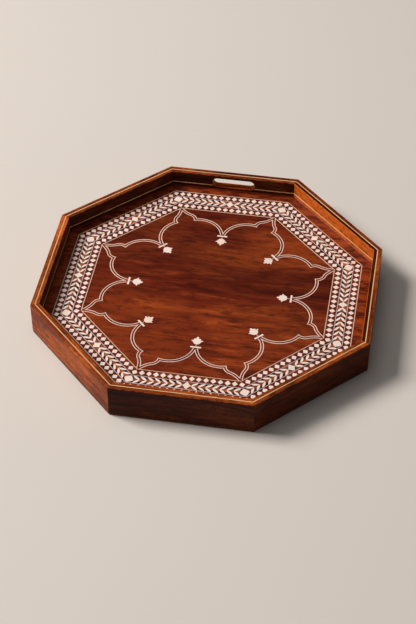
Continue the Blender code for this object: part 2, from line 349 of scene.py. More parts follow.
def new_piece(name, shape, material, index=0, replaced=(), soft_shading=False):
    """A mesh object from a shape in a side's own frame, riding on the tray's one body."""
    points, faces, tone = shape
    mesh = bare_mesh(name, in_tray(points, index), faces)
    set_mark(mesh, "tone", tone)
    outward(mesh)
    set_grain(mesh, index)
    mesh.materials.append(material)
    piece = placed(name, mesh)
    if soft_shading:
        shade_softly(piece)
    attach(piece, "root")
    if replaced:
        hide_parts(*replaced)
    return piece


def shade_softly(piece):
    """Smooth shading that leaves flats flat: sharp edges from 40 degrees, area-weighted normals."""
    piece.data.shade_smooth()
    piece.data.set_sharp_from_angle(angle=SHARP_FROM)
    weighted = piece.modifiers.new("weighted_normals", "WEIGHTED_NORMAL")
    weighted.keep_sharp = True
    weighted.weight = FLATS_FIRST


# ---- finishes ---------------------------------------------------------------------------------
class Field:
    """A shader value that can stand in an expression: each operator adds its Math node."""

    def __init__(self, finish, socket):
        self.finish = finish
        self.socket = socket

    def maths(self, operation, first, second=None, clamp=False):
        inputs = {0: first} if second is None else {0: first, 1: second}
        return self.finish.add("ShaderNodeMath", {"operation": operation, "use_clamp": clamp},
                               inputs)

    def __add__(self, other):
        return self.maths("ADD", self, other)

    def __radd__(self, other):
        return self.maths("ADD", other, self)

    def __sub__(self, other):
        return self.maths("SUBTRACT", self, other)

    def __rsub__(self, other):
        return self.maths("SUBTRACT", other, self)

    def __mul__(self, other):
        return self.maths("MULTIPLY", self, other)

    def __rmul__(self, other):
        return self.maths("MULTIPLY", other, self)

    def size(self):
        return self.maths("ABSOLUTE", self)

    def held(self):
        """Kept between 0 and 1."""
        return self.maths("ADD", self, 0.0, clamp=True)

    def rise(self, low, high):
        """0 below low, 1 above high, and smooth between them. With high below low it falls."""
        return self.finish.add("ShaderNodeMapRange", {"interpolation_type": "SMOOTHSTEP"},
                               {"Value": self, "From Min": low, "From Max": high})


class Finish:
    """One material and the nodes that are added to it."""

    def __init__(self, name):
        self.material = bpy.data.materials.new(name)
        self.material.use_nodes = True
        self.tree = self.material.node_tree
        self.shader = self.tree.nodes["Principled BSDF"]

    def feed(self, socket, value):
        if isinstance(value, Field):
            self.tree.links.new(value.socket, socket)
        elif socket.type == "RGBA":
            socket.default_value = (*value[:3], 1.0)
        else:
            socket.default_value = value

    def add(self, kind, settings, inputs, output=0):
        """Any node: its settings are set first, then its sockets' values or links."""
        node = self.tree.nodes.new(kind)
        for name, value in settings.items():
            setattr(node, name, value)
        for name, value in inputs.items():
            self.feed(node.inputs[name], value)
        return Field(self, node.outputs[output])

    def surface(self, shade, rough, specular, height=None, depth=0.0, strength=0.5):
        """The finished material, with a bump of a depth in metres where a height is given."""
        inputs = {"Base Color": shade, "Roughness": rough, "Specular IOR Level": specular}
        if height is not None:
            inputs["Normal"] = self.add("ShaderNodeBump", {}, {
                "Strength": strength, "Distance": depth, "Height": height})
        for name, value in inputs.items():
            self.feed(self.shader.inputs[name], value)
        return self.material

    def own_place(self):
        return self.add("ShaderNodeTexCoord", {}, {}, "Object")

    def grain(self):
        return self.add("ShaderNodeAttribute", {"attribute_name": "grain"}, {}, "Vector")

    def mark(self, name):
        return self.add("ShaderNodeAttribute", {"attribute_name": name}, {}, "Fac")

    def part(self, place, axis):
        return self.add("ShaderNodeSeparateXYZ", {}, {"Vector": place}, axis)

    def mapped(self, place, scale=(1, 1, 1), location=(0, 0, 0), turn=0.0):
        return self.add("ShaderNodeMapping", {}, {"Vector": place, "Scale": scale,
                                                  "Location": location,
                                                  "Rotation": (0.0, 0.0, turn)})

    def noise(self, place, scale, detail=2.0, rough=0.5, bend=0.0):
        return self.add("ShaderNodeTexNoise", {},
                        {"Vector": place, "Scale": scale, "Detail": detail,
                         "Roughness": rough, "Distortion": bend})

    def drawn(self, place, squeeze, *noise):
        """Noise squeezed along place's X: the smaller the share, the longer its marks."""
        return self.noise(self.mapped(place, (squeeze, 1.0, 1.0)), *noise)

    def mix(self, share, first, second):
        """Colours mixed by a share: the Mix node's colour sockets are its seventh and eighth."""
        return self.add("ShaderNodeMix", {"data_type": "RGBA"}, {0: share, 6: first, 7: second}, 2)

    def coats(self, shade, *coats):
        """A colour with others laid over it in turn, each by its share."""
        for share, tint in coats:
            shade = self.mix(share, shade, tint)
        return shade


def wood_figure(finish, place, streak_scale):
    """Streaks, broad patches, fine grain and pores of wood whose grain lies along place's X, as
    values from 0 to 1: noises drawn out along the grain, which sways with a slow noise."""
    sway = finish.drawn(place, 0.5, 5.0, 1.0)
    bent = finish.add("ShaderNodeVectorMath", {"operation": "ADD"},
                      {0: place, 1: finish.add("ShaderNodeCombineXYZ", {},
                                               {"Y": (sway - 0.5) * 0.055,
                                                "Z": (sway - 0.5) * 0.02})})
    streaks = finish.drawn(bent, 0.13, streak_scale, 6.0, 0.66, 1.2)
    patches = finish.drawn(bent, 0.40, streak_scale * 0.22, 3.0, 0.6)
    fine = finish.drawn(bent, 0.12, streak_scale * 7.0, 4.0, 0.7, 0.6)
    pores = finish.drawn(bent, 0.06, streak_scale * 22.0, 2.0)
    return streaks, patches, fine, pores


def polished_wood(finish, place, dark, body, light, streak_scale, contrast=1.0):
    """Colour and height of polished wood: body between dark streaks and light ones, the light
    ones strongest in broad patches, with fine grain and open pores over them."""
    streaks, patches, fine, pores = wood_figure(finish, place, streak_scale)
    deep = streaks.rise(0.48, 0.34) * contrast
    glow = (streaks.rise(0.48, 0.66) * 0.65 + patches.rise(0.46, 0.64) * 0.60).held()
    pore = pores.rise(0.66, 0.74)
    shade = finish.coats(body, (glow, light),
                         ((deep * (1.0 - patches.rise(0.54, 0.70) * 0.8)).held(), dark),
                         (fine.rise(0.62, 0.36) * 0.42, dark), (pore * 0.5, dark))
    return shade, fine * 0.35 - pore * 0.8, fine, patches


def wall_finish():
    """Polished boards. tone paints light and shade on each face: towards a pale amber where the
    key light falls, towards the dark streak colour where the face is turned from it. edge lets
    the arrises wear lighter, and strip paints shade on the rim inside its stringing."""
    tray = colours()
    finish = Finish("board_rosewood")
    place = finish.grain()
    tone = finish.mark("tone")
    shade, height, fine, patches = polished_wood(finish, place, tray.wall_dark, tray.wall_body,
                                                 tray.wall_light, 56.0)
    mottle = finish.drawn(place, 0.5, 170.0, 4.0, 0.7)
    rubbed = finish.noise(place, 160.0, 3.0).rise(0.40, 0.62)
    worn = finish.mark("edge").rise(1.6 * MM, 0.3 * MM) * rubbed
    # Painted light towards amber and painted shade towards the dark colour, by each face's tone;
    # the last share is painted shade on the rim.
    shade = finish.coats(shade, (tone.rise(0.5, 1.0) * 0.80, tray.painted_light_amber),
                         (tone.rise(0.5, 0.0) * 0.80, tray.wall_dark),
                         (mottle.rise(0.54, 0.36) * 0.55, tray.wall_dark),
                         (worn * 0.35, tray.wall_light),
                         (finish.mark("strip") * 0.85, tray.wall_dark))
    rough = 0.32 + finish.noise(place, 35.0, 3.0) * 0.12 + worn * 0.15 - patches * 0.04
    return finish.surface(shade, rough, 0.07, height, 0.10 * MM)


def floor_finish():
    """Glossy floor panel: long streaks along X, short dark marks, warm patches, a margin outside
    the border with light ones, one small dark knot, and the bottom of the inlay beds left dark.

    The margin is where the greatest of |x| in four frames, each turned by 45 degrees from the
    last, is past the border's outer edge.
    """
    tray = colours()
    finish = Finish("floor_figured_wood")
    place = finish.own_place()
    shade, height, fine, patches = polished_wood(finish, place, tray.floor_dark, tray.floor_body,
                                                 tray.floor_light, 46.0, 0.8)
    broad = finish.noise(finish.mapped(place, (0.45, 1.0, 1.0), (0.4, 0.1, 0.0)), 4.6, 2.0)
    mottle = finish.drawn(place, 0.30, 120.0, 4.0, 0.7)
    across = [finish.part(finish.mapped(place, turn=k * TURN), "X").size() for k in range(4)]
    radius = across[0]
    for other in across[1:]:
        radius = radius.maths("MAXIMUM", radius, other)
    margin = radius.rise(BAND_OUT - 0.1 * MM, BAND_OUT)
    knot = finish.mapped(place, (0.55, 1.5, 0.0), (0.0155, -0.0105, 0.0))
    ring = finish.add("ShaderNodeVectorMath", {"operation": "LENGTH"}, {0: knot}, "Value")
    ragged = ring + (finish.noise(place, 120.0, 2.0) - 0.5) * 0.006
    in_bed = finish.part(place, "Z").rise(FLOOR_TOP - 0.1 * MM, FLOOR_TOP - 0.4 * MM)
    shade = finish.coats(shade, (broad.rise(0.56, 0.34) * 0.55, tray.floor_dark),
                         (broad.rise(0.52, 0.72) * 0.35, tray.floor_light),
                         (margin * mottle.rise(0.42, 0.62) * 0.6, tray.floor_light),
                         (mottle.rise(0.50, 0.34) * 0.6, tray.floor_dark),
                         (ragged.rise(7.5 * MM, 2.5 * MM) * 0.85, tray.floor_dark),
                         (in_bed, tray.mastic))
    rough = 0.23 + finish.noise(place, 26.0, 3.0) * 0.10 + fine * 0.04
    return finish.surface(shade, rough, 0.16, height, 0.06 * MM, 0.45)


def plain_wood_finish(name, body, dark, light, streak_scale, rough, turn=None):
    """Wood of the base board, the dots' ground or a block. turn is given where it reads its own
    place, turned so that the grain lies along the piece; otherwise it reads the grain."""
    finish = Finish(name)
    place = finish.grain() if turn is None else finish.mapped(finish.own_place(), turn=turn)
    shade, height, fine, patches = polished_wood(finish, place, dark, body, light, streak_scale)
    return finish.surface(shade, rough + fine * 0.12 - patches * 0.05, 0.16, height, 0.10 * MM)


def bed_finish(name):
    """The dark wood that fills a bed round its bone."""
    tray = colours()
    return plain_wood_finish(name, tray.floor_body, tray.floor_dark, tray.floor_light, 90.0, 0.3)


def bone_finish(name, body, warm_share):
    """Polished bone: each piece has its own tone, warmer or greyer than the body colour, with
    cloudy variation, faint short streaks along its side and tiny dark pores."""
    finish = Finish(name)
    place = finish.grain()
    tone = finish.mark("tone")
    warm, grey = shaded(body, 0.92, 0.74, 0.58), shaded(body, 0.80, 0.82, 0.86)
    clouds = finish.noise(place, 210.0, 3.0, 0.55)
    fibres = finish.drawn(place, 0.22, 1500.0, 2.0)
    pores = finish.noise(place, 2600.0, 1.0).rise(0.68, 0.76)
    shade = finish.coats(body, ((tone.rise(0.55, 1.0) * warm_share).held(), warm),
                         (tone.rise(0.4, 0.0) * 0.6, grey),
                         (clouds.rise(0.45, 0.75) * 0.35, warm),
                         (fibres.rise(0.60, 0.35) * 0.16 + pores * 0.35,
                          shaded(warm, 0.45, 0.45, 0.45)))
    height = clouds * 0.5 + fibres * 0.3 - pores
    return finish.surface(shade, 0.36 + clouds * 0.14 + pores * 0.2, 0.4, height, 0.05 * MM, 0.6)


def stringing_finish(name, body):
    """Pale wood stringing: fine grain along it, slow changes of tone, and a few dark stains."""
    finish = Finish(name)
    place = finish.grain()
    dark = shaded(body, 0.62, 0.50, 0.38)
    slow = finish.drawn(place, 0.3, 60.0, 3.0)
    fine = finish.drawn(place, 0.06, 1800.0, 2.0)
    stain = finish.noise(place, 34.0, 2.0).rise(0.62, 0.74)
    shade = finish.coats(body, (slow.rise(0.42, 0.66) * 0.55, dark),
                         (fine.rise(0.58, 0.36) * 0.30 + stain * 0.25, dark))
    return finish.surface(shade, 0.38 + slow * 0.12, 0.35, fine, 0.04 * MM)


def ebony_finish(name, body, brown):
    """Near-black ground with faint brown grain and clouds."""
    finish = Finish(name)
    place = finish.grain()
    fine = finish.drawn(place, 0.06, 900.0, 3.0)
    cloud = finish.noise(place, 70.0, 2.0)
    shade = finish.mix(fine.rise(0.45, 0.70) * 0.5 + cloud.rise(0.5, 0.8) * 0.25, body, brown)
    return finish.surface(shade, 0.32 + fine * 0.18, 0.14, fine, 0.05 * MM)


def studio_floor_finish():
    """Pale seamless floor with a barely visible unevenness."""
    finish = Finish("studio_floor")
    tint = tuple(bpy.context.scene.tray_stage.floor)
    cloud = finish.noise(finish.own_place(), 3.0, 3.0)
    shade = finish.mix(cloud * 0.4, tint, shaded(tint, 0.95, 0.95, 0.95))
    return finish.surface(shade, 0.85, 0.2)


# ---- boards and stringing ---------------------------------------------------------------------
# Painted light and shade on each board, from 0 to 1: its inner face, its rim and its outer face.
BOARD_PAINTED_LIGHT = {"back": (0.14, 0.42, 0.45), "back_right": (1.0, 0.30, 0.45),
               "right": (0.74, 0.34, 0.38), "front_right": (0.40, 0.56, 0.02),
               "front": (0.44, 0.60, 0.06), "front_left": (0.45, 0.60, 0.44),
               "left": (0.22, 0.72, 0.50), "back_left": (0.10, 0.56, 0.45)}
# Boards whose rim is darkened by painted shade between the stringing and the inner arris.
RIMS_IN_PAINTED_SHADE = ("back_right", "right")
SLOT_PAINTED_LIGHT = 0.86          # painted light on the wood inside the hand slot
GROOVE_ROOM = 0.15 * MM   # play between a line of stringing and its groove
LINE_ROUND = 0.2 * MM               # rounding of the stringing's edges in sight
LINE_FOOT_ROUND = 0.05 * MM         # and of its hidden ones
BASE_EASE = 0.7 * MM      # softened edges of the base board


def wall_profile():
    """Section of a board as (out, up): rounded arrises, and grooves for the floor panel, the rim
    line and the inner line."""
    arris = sizes().arris
    tight = GROOVE_ROOM
    housed = -FLOOR_LOW.y + GAP
    floor_low, floor_high = FLOOR_LOW.z - GAP, FLOOR_TOP + GAP
    line_in, line_out = rim_line_edges(-tight)
    gold_low, gold_high = GOLD_FOOT - tight, GOLD_TOP + tight
    line_bed = RIM_LINE_FOOT - tight
    gold_bed = GOLD_OUT + tight
    corners = [(WALL_OUT, WALL_FOOT), (WALL_OUT, RIM), (line_out, RIM), (line_out, line_bed),
               (line_in, line_bed), (line_in, RIM), (WALL_IN, RIM), (WALL_IN, gold_high),
               (gold_bed, gold_high), (gold_bed, gold_low), (WALL_IN, gold_low),
               (WALL_IN, floor_high), (housed, floor_high), (housed, floor_low),
               (WALL_IN, floor_low), (WALL_IN, WALL_FOOT)]
    radii = np.full(len(corners), tight * 0.6)
    radii[[1, 6]] = arris
    radii[0] = arris * 0.5
    return rounded(corners, radii)


def rim_line_edges(inset=0.0):
    """Inner and outer edge of the rim's stringing, which keeps to the middle of its groove."""
    middle, half = (RIM_LINE_IN + RIM_LINE_OUT) / 2, sizes().rim_line / 2 - inset
    return middle - half, middle + half


def slot_cutter():
    """Round-ended opening whose section flares at both faces of the board.

    A ring at each distance out: the stadium's outline moved outwards by the flare,
    radius * (1 - cos angle), within one radius of each face.
    """
    around, steps, beyond = 96, 6, 2 * MM
    size = sizes()
    radius = size.slot_height / 2
    reach = size.slot_length / 2 - radius
    angle = (np.arange(around) + 0.25) * 2 * math.pi / around - math.pi / 2
    centre = np.where(np.cos(angle) > 0.0, reach, -reach)
    swing = np.linspace(math.pi / 2, 0.0, steps)
    inward = size.slot_flare * (1.0 - np.sin(swing))
    spread = size.slot_flare * (1.0 - np.cos(swing))
    out = np.concatenate([[WALL_IN - beyond], WALL_IN + inward, WALL_OUT - inward[::-1],
                          [WALL_OUT + beyond]])
    flare = np.concatenate([[spread[0]], spread, spread[::-1], [spread[0]]])
    ring = radius + flare[:, None]
    middle = RIM - size.slot_drop - radius
    grid = np.stack([centre + ring * np.cos(angle),
                     np.broadcast_to(out[:, None], (len(out), around)),
                     middle + ring * np.sin(angle)], -1)
    return grid.reshape(-1, 3), tube_faces(len(out), around)


def cut_slot(piece):
    """The slotted board's mesh with the opening cut out, put in place of the plain one."""
    mesh = bare_mesh("slot_cutter", *slot_cutter())
    outward(mesh)
    cutter = placed("slot_cutter", mesh)
    modifier = piece.modifiers.new("slot", "BOOLEAN")
    modifier.object = cutter
    modifier.solver = "EXACT"
    graph = bpy.context.evaluated_depsgraph_get()
    cut = bpy.data.meshes.new_from_object(piece.evaluated_get(graph))
    piece.modifiers.remove(modifier)
    piece.data = cut
    bpy.data.objects.remove(cutter, do_unlink=True)


def mark_board(mesh, index):
    """A board's attributes. tone is the painted light and shade of its inner face, rim, outer
    face or slot, edge is the distance from the nearer rim arris, and strip is 1 where shade is
    painted on the rim inside the stringing of the listed boards."""
    size, side = sizes(), SIDES[index]
    along, out, up = own_places(mesh, index).T
    inner_painted_light, rim_painted_light, outer_painted_light = BOARD_PAINTED_LIGHT[side]
    on_face = (out > WALL_OUT - 0.1 * MM) & (up < RIM - 0.5 * size.arris)
    on_top = up > RIM - HAIR
    tone = np.where(on_face, outer_painted_light, np.where(on_top, rim_painted_light, inner_painted_light))
    if side == SLOTTED:
        in_board = (out > WALL_IN + 0.5 * MM) & (out < WALL_OUT - 0.5 * MM)
        # Painted light inside the hand slot.
        tone[in_board & (np.abs(along) < size.slot_length / 2 + 1.0 * MM)] = SLOT_PAINTED_LIGHT
    set_mark(mesh, "tone", tone)
    # Painted shade on the rim inside the stringing, on the listed boards only.
    set_mark(mesh, "strip", on_top & (out < RIM_LINE_IN + GAP) & (side in RIMS_IN_PAINTED_SHADE))
    set_mark(mesh, "edge", np.minimum(np.hypot(out - WALL_OUT, up - RIM),
                                      np.hypot(out - WALL_IN, up - RIM)))


def build_walls():
    """Eight boards from one section, and the opening in one of them."""
    material = wall_finish()
    profile = wall_profile()
    for index, side in enumerate(SIDES):
        piece = new_piece("board_" + side, mitred(profile), material, index,
                          ("wall_" + side,))
        if side == SLOTTED:
            cut_slot(piece)
            set_grain(piece.data, index)
        mark_board(piece.data, index)
        shade_softly(piece)


def build_rim_lines():
    """Stringing in the rim: a strip with eased edges, its top a hair below the rim."""
    material = stringing_finish("cream_stringing", tuple(colours().rim_line))
    top = RIM - 0.01 * MM
    inner, outer = rim_line_edges()
    corners = [(outer, RIM_LINE_FOOT), (outer, top), (inner, top), (inner, RIM_LINE_FOOT)]
    profile = rounded(corners, [LINE_FOOT_ROUND, LINE_ROUND, LINE_ROUND, LINE_FOOT_ROUND], 2)
    for index, side in enumerate(SIDES):
        name = "rim_line_" + side
        new_piece("stringing_" + name, mitred(profile), material, index, (name,))


def build_gold_lines():
    """Stringing in the inner faces, standing a hair proud; two short ones beside the slot."""
    material = stringing_finish("gold_stringing", tuple(colours().gold_line))
    face = GOLD_IN - 0.08 * MM
    corners = [(face, GOLD_FOOT), (GOLD_OUT, GOLD_FOOT), (GOLD_OUT, GOLD_TOP), (face, GOLD_TOP)]
    profile = rounded(corners, [LINE_ROUND, LINE_FOOT_ROUND, LINE_FOOT_ROUND, LINE_ROUND], 2)
    slot_end = SLOT_LINE_END + sizes().slot_flare
    for index, side in enumerate(SIDES):
        points, faces, tone = mitred(profile)
        lines = {"inner_line_" + side: points}
        if side == SLOTTED:
            lines = {}
            for hand, sign in (("left", -1.0), ("right", 1.0)):
                short = points.copy()
                short[:, 0] = np.where(points[:, 0] * sign > 0.0, points[:, 0], sign * slot_end)
                lines["inner_line_" + side + "_slot_" + hand] = short
        for name, places in lines.items():
            new_piece("stringing_" + name, (places, faces, tone), material, index,
                      (name,))


def build_beads():
    """Quarter-round bead in the angle between the floor and each wall: out = face - r cos a,
    up = floor + r sin a."""
    tray = colours()
    material = plain_wood_finish("bead_wood", tray.floor_body, tray.floor_dark, tray.wall_body,
                                 120.0, 0.24)
    radius = sizes().bead
    angle = np.linspace(0.0, math.pi / 2, 7)
    floor = FLOOR_TOP + HAIR
    face = WALL_IN - HAIR
    curve = np.stack([face - radius * np.cos(angle), floor + radius * np.sin(angle)], -1)
    profile = np.concatenate([curve, [[face, floor]]])
    for index, side in enumerate(SIDES):
        new_piece("foot_bead_" + side, mitred(profile), material, index,
                  soft_shading=True)


def octagon(apothem):
    """Corners of an octagon with its sides square to the axes."""
    angle = HALF_TURN + np.arange(8) * TURN
    return apothem / COS * np.stack([np.cos(angle), np.sin(angle)], -1)


def build_base():
    """Base board with both of its edges eased."""
    tray = colours()
    low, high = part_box("base_board")
    material = plain_wood_finish("base_board_wood", tray.base_body, tray.wall_dark,
                                 tray.wall_body, 40.0, 0.48)
    shape = plates([octagon(high.x)], low.z, high.z, BASE_EASE, BASE_EASE)
    new_piece("underside_board", shape, material, 0, ("base_board",))


# ---- border -----------------------------------------------------------------------------------
ROW_LINES = (0.326, 0.691)    # middles of the lines between the rows, as shares of the width
DIAMOND_REACH = 6.9 * MM      # half length of the diamond at mid-side, with its wings
DIAMOND_BODY = 3.8 * MM       # half length of the diamond without them
CORNER_REACH = 5.6 * MM       # half size of the corner piece
CORNER_SPREAD = 1.14          # its outline is made larger by this, for its ripples
CORNER_RIPPLE = (0.085, 4)    # how deep its ripples are, and how many
CORNER_POWER = 1.9            # an outline's power: 1 has straight sides and 2 is an ellipse
DOT_POWER = 1.06
TILE_ROOM = 0.15 * MM         # between a tile and a fine line
STAR_ROOM = 0.1 * MM          # between the diamond's points and the fine lines
STAR_PROUD = 0.03 * MM        # the diamond and corner piece stand this much above the dots
WEDGE_PROUD = 0.03 * MM       # wedges stand this much above the ground of their row
# The triangles beside the diamond: near end, how far the point falls short of its wing, and
# the far end as a share of it.
SIDE_WIDTHS = (1.6 * MM, 0.5 * MM, 1.55)
SIDE_DEPTH = 0.9 * MM         # the triangles' point, from the row's middle
WEDGE_EASE = 0.08 * MM        # softened edges of wedges and triangles
GROUND_EASE = 0.05 * MM       # softened edges of the grounds
SET_IN = 0.5 * MM             # how deep the tiles stand in their ground
LINE_EASE = 0.12 * MM         # softened edge of a pale line
DOT_STRAY = (0.16 * MM, 0.06, 0.025)     # spread of a dot's place, turn and size
ARM_STRAY = (0.09 * MM, 0.03)            # spread of an arm's place and turn
ARM_RUN = 0.90                # an arm's length along the side, as a share of the pitch
ARM_ROOM = (0.25 * MM, 0.55 * MM)        # from the row's middle, and less than half the row
ARM_OVERLAP = 1.06            # arms are longer than their run and rise by this
WEDGE_BEHIND = 0.16           # a wedge's middle from its arms' middle, as a share of the pitch


def lozenge(half_along, half_out, power, count, ripple=0.0, lobes=8):
    """Superellipse |x / a| ** power + |y / b| ** power = 1, its radius rippled by
    1 + ripple * cos(lobes * angle)."""
    angle = np.arange(count) * 2 * math.pi / count
    cosine, sine = np.cos(angle), np.sin(angle)
    scale = 1.0 + ripple * np.cos(lobes * angle)
    along = half_along * np.sign(cosine) * np.abs(cosine) ** (2.0 / power)
    out = half_out * np.sign(sine) * np.abs(sine) ** (2.0 / power)
    return np.stack([along * scale, out * scale], -1)


def laid(outline, centres, turns=0.0, scales=1.0):
    """Copies of an outline about its own centre: scaled, turned and moved, as whole arrays."""
    centres = np.asarray(centres, float)
    turns = np.broadcast_to(turns, len(centres))[:, None]
    scales = np.broadcast_to(scales, len(centres))[:, None]
    x, y = outline[None, :, 0] * scales, outline[None, :, 1] * scales
    cosine, sine = np.cos(turns), np.sin(turns)
    return np.stack([centres[:, :1] + x * cosine - y * sine,
                     centres[:, 1:] + x * sine + y * cosine], -1)


def border_rows():
    """Distances from the centre: the fine lines' middles, then the three rows' edges."""
    half = sizes().fine_line / 2
    width = BAND_OUT - BAND_IN
    lines = np.array([BAND_IN + half, BAND_IN + width * ROW_LINES[0],
                      BAND_IN + width * ROW_LINES[1], BAND_OUT - half])
    rows = np.stack([lines[:-1] + half, lines[1:] - half], -1)
    return lines, rows


def half_width(row):
    """Half a row's width across the border."""
    return (row[1] - row[0]) / 2


def dot_row(row, count, jitter):
    """Dots along a row, the last of them on the mitre, where the next side's row begins."""
    middle = row.mean()
    size = sizes()
    place_stray, turn_stray, size_stray = DOT_STRAY
    reach = middle * TAN
    share = np.arange(1, count) / (count - 1)
    along = -reach + 2 * reach * share
    centres = np.stack([along, np.full(count - 1, middle)], -1)
    centres = centres + jitter.normal(0.0, place_stray, centres.shape)
    centres[-1] = (reach, middle)
    turns = jitter.normal(0.0, turn_stray, count - 1)
    turns[-1] = -HALF_TURN
    half_out = min(size.dot_out, half_width(row) - TILE_ROOM)
    outline = lozenge(size.dot_along, half_out, DOT_POWER, 16)
    return laid(outline, centres, turns, jitter.normal(1.0, size_stray, count - 1))


def leaf(reach, width, count=16):
    """Slim leaf about its own centre: half its width times |sin| ** 1.5 across."""
    angle = np.arange(count) * 2 * math.pi / count
    sine = np.sin(angle)
    return np.stack([reach / 2 * np.cos(angle),
                     width / 2 * np.sign(sine) * np.abs(sine) ** 1.5], -1)


def arm_places(row, jitter):
    """Centres and turns of a side's pale arms: for each half, chevron and arm, the arm runs from
    beside the row's middle, at the chevron's point, to the row's edge, away from mid-side."""
    count = sizes().chevrons
    middle = row.mean()
    half_row = half_width(row)
    corner = middle * TAN - CORNER_REACH
    pitch = (corner - DIAMOND_REACH) / count
    run, rise = ARM_RUN * pitch, half_row - ARM_ROOM[1]
    point = DIAMOND_REACH + np.arange(count) * pitch
    half, place, arm = np.meshgrid([-1.0, 1.0], point, [-1.0, 1.0], indexing="ij")
    half, place, arm = half.ravel(), place.ravel(), arm.ravel()
    centres = np.stack([half * (place + run / 2), middle + arm * (rise / 2 + ARM_ROOM[0])], -1)
    centres = centres + jitter.normal(0.0, ARM_STRAY[0], centres.shape)
    turns = np.arctan2(arm * rise, half * run) + jitter.normal(0.0, ARM_STRAY[1], len(half))
    return centres, turns, math.hypot(run, rise) * ARM_OVERLAP, half, pitch


def build_border():
    """Each side's banding: three strips of ground, four fine lines, two rows of dots, a diamond,
    a corner piece, and chevrons of two pale arms with a tan wedge between them."""
    size, tray = sizes(), colours()
    lines, rows = border_rows()
    middle_row = rows[1]
    middle = middle_row.mean()
    top = FLOOR_TOP + size.proud
    foot = FLOOR_TOP - SET_IN
    half = size.fine_line / 2
    bone = bone_finish("bone_tiles", tuple(tray.bone), 0.25)
    line_bone = bone_finish("edge_line_bone", shaded(tray.bone, 0.84, 0.68, 0.57), 0.9)
    grey_bone = bone_finish("row_line_bone", shaded(tray.bone, 0.66, 0.54, 0.58), 0.3)
    dot_wood = plain_wood_finish("dot_ground_wood", tray.ground, tray.mastic, tray.wall_body,
                                 110.0, 0.34)
    ebony = ebony_finish("ebony_ground", tuple(tray.ebony), tuple(tray.mastic))
    tan = plain_wood_finish("tan_arms_wood", tray.tan, tray.ground, tray.wall_light, 200.0, 0.36)
    ground_top = FLOOR_TOP - HAIR
    star = winged(DIAMOND_REACH, half_width(middle_row) - STAR_ROOM, DIAMOND_BODY)
    spread = CORNER_REACH * CORNER_SPREAD
    corner = laid(lozenge(spread, spread, CORNER_POWER, 40, *CORNER_RIPPLE),
                  [(middle * TAN, middle)], -HALF_TURN)
    for index, side in enumerate(SIDES):
        jitter = np.random.default_rng(40 + index)
        ground = [plates([segment(*rows[k])], BED, ground_top, GROUND_EASE) for k in (0, 2)]
        new_piece("dot_ground_" + side, joined(ground), dot_wood, index,
                  ("border_band_" + side,))
        new_piece("chevron_ground_" + side, plates([segment(*middle_row)], BED, ground_top,
                                                   GROUND_EASE), ebony, index)
        for name, pair, finish in (("edge_lines_", lines[[0, 3]], line_bone),
                                   ("row_lines_", lines[[1, 2]], grey_bone)):
            strips = np.stack([segment(at - half, at + half, 0.05 * MM) for at in pair])
            new_piece(name + side, plates(strips, BED, top, LINE_EASE, seed=index), finish,
                      index)
        dots = [dot_row(rows[0], size.inner_dots, jitter),
                dot_row(rows[2], size.outer_dots, jitter)]
        tiles = [plates(row, foot, top, size.ease, seed=60 + index + 8 * k)
                 for k, row in enumerate(dots)]
        tiles += [plates(star[None] + np.array([0.0, middle]), foot, top + STAR_PROUD,
                         size.ease, seed=index),
                  plates(corner, foot, top + STAR_PROUD, size.ease, seed=9 + index)]
        new_piece("bone_tiles_" + side, joined(tiles), bone, index)
        centres, turns, reach, hands, pitch = arm_places(middle_row, jitter)
        arms = laid(leaf(reach, size.arm_width), centres, turns)
        new_piece("chevron_arms_" + side, plates(arms, foot, top, size.ease, seed=90 + index),
                  bone, index)
        behind = np.stack([centres[::2, 0] + hands[::2] * pitch * WEDGE_BEHIND,
                           np.full(len(centres) // 2, middle)], -1)
        kites = laid(kite(pitch), behind, np.where(hands[::2] > 0.0, 0.0, math.pi))
        shapes = [plates(kites, foot, ground_top + WEDGE_PROUD, WEDGE_EASE, seed=120 + index),
                  plates(diamond_sides(middle_row), foot, ground_top + HAIR, WEDGE_EASE,
                         seed=index)]
        new_piece("tan_wedges_" + side, joined(shapes), tan, index)


def kite(pitch):
    """Wedge on the row's middle that fills the inside of a chevron, from its point outwards."""
    return np.array([[-0.26, 0.0], [0.36, 0.38], [0.60, 0.0], [0.36, -0.38]]) * pitch


def winged(reach, height, body):
    """Outline that is taller than its body is wide, with a pointed wing on each side.

    Half its width at a share v of its half height is body * (1 - |v| ** 2.2) ** 0.75, plus what
    the wings add, (reach - body) * (1 - |v| / 0.45) ** 1.4 where |v| < 0.45.
    """
    v = np.cos(np.linspace(math.pi, 0.0, 33))
    wing = np.maximum(1.0 - np.abs(v) / 0.45, 0.0) ** 1.4
    half = body * np.maximum(1.0 - np.abs(v) ** 2.2, 0.0) ** 0.75 + (reach - body) * wing
    right = np.stack([half, v * height], -1)
    return np.concatenate([right, right[-2:0:-1] * MIRROR])


def diamond_sides(row):
    """Four brown triangles that fill the row beside the diamond, up to the first chevron."""
    middle, half_row = row.mean(), half_width(row) - TILE_ROOM
    near, short, far = SIDE_WIDTHS
    one = np.array([[near, half_row], [DIAMOND_REACH - short, SIDE_DEPTH],
                    [DIAMOND_REACH * far, half_row]])
    signs = np.array([[1.0, 1.0], [-1.0, 1.0], [1.0, -1.0], [-1.0, -1.0]])
    return one[None] * signs[:, None] + np.array([0.0, middle])


# ---- scalloped line and finials ---------------------------------------------------------------
# As shares of the border's inner distance, (along the side, out from the centre).
BIG_LOBE = ((0.215, 0.665), 0.211, 171.0, 76.0)      # centre, radius, first and last angle
SMALL_LOBE = (0.072, 170.0, 102.0)                   # radius, first and last angle
TIP_PULL = (0.372, 0.948)                            # the curve into the tip bends towards this
SCALLOP_HALF = 2.6 * MM
FILLING = (FLOOR_TOP - 0.03 * MM, HAIR)              # top and softened edge of a bed's filling


